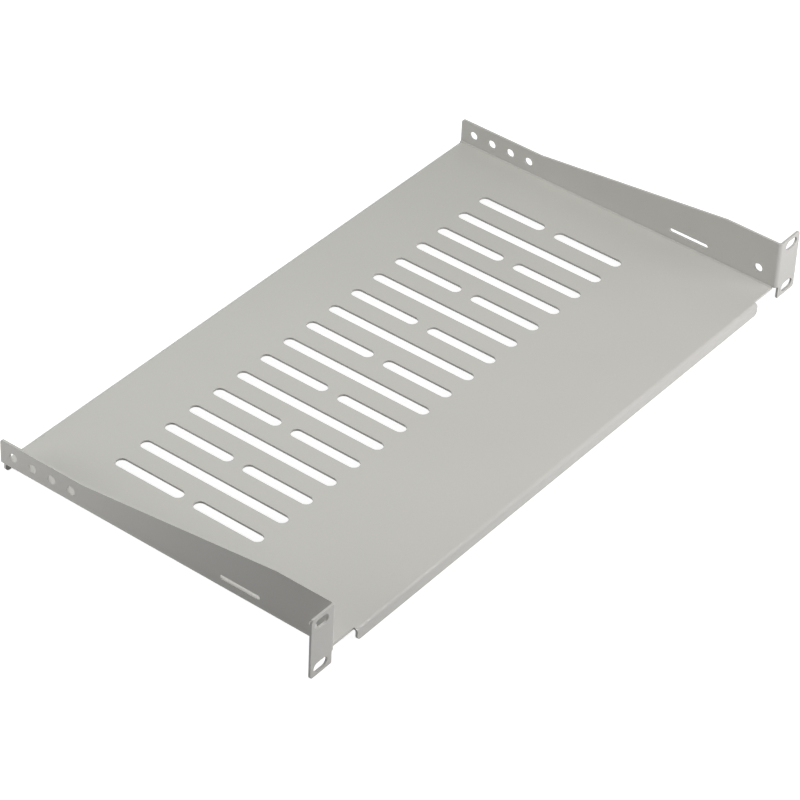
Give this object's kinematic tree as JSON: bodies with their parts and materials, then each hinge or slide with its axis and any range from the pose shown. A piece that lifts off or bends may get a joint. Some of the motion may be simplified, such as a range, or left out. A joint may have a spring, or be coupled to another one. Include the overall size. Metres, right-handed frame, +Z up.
{
  "type": "fixed rack shelf",
  "caption": "Cantilever rack shelf folded from one steel sheet: vented deck, tapered side flanges, slotted mounting ears and folded front and rear lips.",
  "frame": {"origin": "middle of the four ear slots, on the back faces of the ears, where they bear on the rack posts", "axes": "+X to the right seen from the front, +Y back into the rack, +Z up"},
  "size_m": [0.4826, 0.25, 0.0429],
  "materials": {
    "powder_coat": "light grey satin powder coat on sheet steel"
  },
  "bodies": {
    "root": {"rack_shelf": "powder_coat"}
  },
  "joints": []
}
